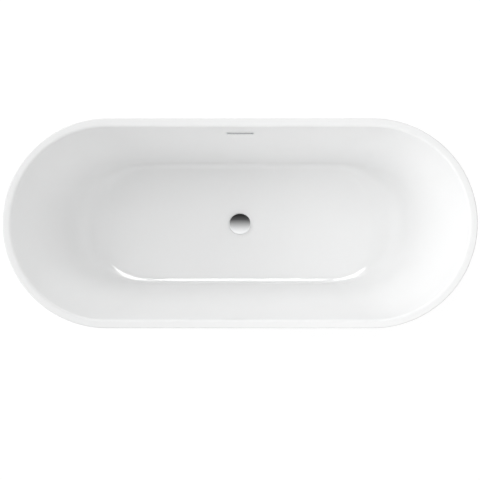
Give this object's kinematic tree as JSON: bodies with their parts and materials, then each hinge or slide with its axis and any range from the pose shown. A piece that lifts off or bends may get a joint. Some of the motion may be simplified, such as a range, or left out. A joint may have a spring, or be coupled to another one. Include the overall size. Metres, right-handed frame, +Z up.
{
  "type": "bathtub",
  "caption": "Freestanding double-skin bathtub with round ends, sloping backrests, a slotted overflow, a click waste with its trap, and levelling feet on a steel frame.",
  "frame": {"origin": "on the floor, under the middle of the tub and of its drain", "axes": "+Z up, +X along the length towards the side the trap's outlet leaves, +Y towards the side with the overflow slot"},
  "size_m": [1.7, 0.75, 0.6],
  "materials": {
    "white_acrylic": "gloss",
    "glassfibre_resin": "rough",
    "board": "matt",
    "white_skirt": "gloss",
    "adhesive": "matt",
    "plywood": "matt",
    "galvanised_steel": "satin",
    "black_plastic": "matt",
    "zinc_steel": "satin",
    "bare_steel": "satin",
    "chrome": "polished",
    "black_rubber": "matt",
    "brass": "satin",
    "spring_steel": "satin",
    "cartridge_plastic": "matt",
    "white_pipe_plastic": "satin",
    "dark_plastic": "matt",
    "hose_plastic": "satin",
    "stainless_steel": "satin",
    "pad_plastic": "matt"
  },
  "bodies": {
    "tub": {"tub_liner": "white_acrylic", "glassfibre_backing": "glassfibre_resin", "base_board": "board", "outer_skirt": "white_skirt", "rim_adhesive": "adhesive", "skirt_band": "plywood", "cross_tube_left": "galvanised_steel", "cross_tube_right": "galvanised_steel", "rail_front": "galvanised_steel", "rail_back": "galvanised_steel", "tube_end_caps": "black_plastic", "frame_screws": "zinc_steel", "weld_nuts": "bare_steel", "lock_nuts": "zinc_steel", "skirt_brackets": "galvanised_steel", "bracket_screws": "zinc_steel", "plunger_spring": "spring_steel", "click_cartridge": "cartridge_plastic", "waste_flange": "chrome", "flange_gasket": "black_rubber", "body_gasket": "black_rubber", "waste_body": "white_pipe_plastic", "union_nuts": "white_pipe_plastic", "union_washers": "black_rubber", "trap_bend": "white_pipe_plastic", "trap_outlet": "white_pipe_plastic", "overflow_bezel": "chrome", "overflow_gasket": "black_rubber", "overflow_housing": "dark_plastic", "overflow_screws": "zinc_steel", "overflow_hose": "hose_plastic", "hose_clamps": "stainless_steel"},
    "plug": {"waste_cap": "chrome", "cap_seal": "black_rubber", "plunger_stem": "brass"},
    "pad_left_front": {"foot_pad_left_front": "pad_plastic", "foot_sole_left_front": "black_rubber"},
    "stud_left_front": {"foot_stud_left_front": "zinc_steel"},
    "pad_left_back": {"foot_pad_left_back": "pad_plastic", "foot_sole_left_back": "black_rubber"},
    "stud_left_back": {"foot_stud_left_back": "zinc_steel"},
    "pad_right_front": {"foot_pad_right_front": "pad_plastic", "foot_sole_right_front": "black_rubber"},
    "stud_right_front": {"foot_stud_right_front": "zinc_steel"},
    "pad_right_back": {"foot_pad_right_back": "pad_plastic", "foot_sole_right_back": "black_rubber"},
    "stud_right_back": {"foot_stud_right_back": "zinc_steel"}
  },
  "joints": [
    {"name": "plug_lift", "type": "slide", "parent": "tub", "child": "plug", "axis": [0, 0, 1], "range_m": [0, 0.01], "deforming": ["plunger_spring"]},
    {"name": "foot_height_left_front", "type": "slide", "parent": "tub", "child": "pad_left_front", "axis": [0, 0, 1], "range_m": [-0.02, 0.005]},
    {"name": "foot_turn_left_front", "type": "hinge", "parent": "pad_left_front", "child": "stud_left_front", "pos_m": [-0.4, -0.2, 0.02], "axis": [0, 0, 1], "range_deg": [-4115, 1029]},
    {"name": "foot_height_left_back", "type": "slide", "parent": "tub", "child": "pad_left_back", "axis": [0, 0, 1], "range_m": [-0.02, 0.005]},
    {"name": "foot_turn_left_back", "type": "hinge", "parent": "pad_left_back", "child": "stud_left_back", "pos_m": [-0.4, 0.2, 0.02], "axis": [0, 0, 1], "range_deg": [-4115, 1029]},
    {"name": "foot_height_right_front", "type": "slide", "parent": "tub", "child": "pad_right_front", "axis": [0, 0, 1], "range_m": [-0.02, 0.005]},
    {"name": "foot_turn_right_front", "type": "hinge", "parent": "pad_right_front", "child": "stud_right_front", "pos_m": [0.4, -0.2, 0.02], "axis": [0, 0, 1], "range_deg": [-4115, 1029]},
    {"name": "foot_height_right_back", "type": "slide", "parent": "tub", "child": "pad_right_back", "axis": [0, 0, 1], "range_m": [-0.02, 0.005]},
    {"name": "foot_turn_right_back", "type": "hinge", "parent": "pad_right_back", "child": "stud_right_back", "pos_m": [0.4, 0.2, 0.02], "axis": [0, 0, 1], "range_deg": [-4115, 1029]}
  ],
  "couplings": [
    {"joint": "foot_turn_left_front", "follows": "foot_height_left_front", "rad_per_m": 3590.4},
    {"joint": "foot_turn_left_back", "follows": "foot_height_left_back", "rad_per_m": 3590.4},
    {"joint": "foot_turn_right_front", "follows": "foot_height_right_front", "rad_per_m": 3590.4},
    {"joint": "foot_turn_right_back", "follows": "foot_height_right_back", "rad_per_m": 3590.4}
  ]
}
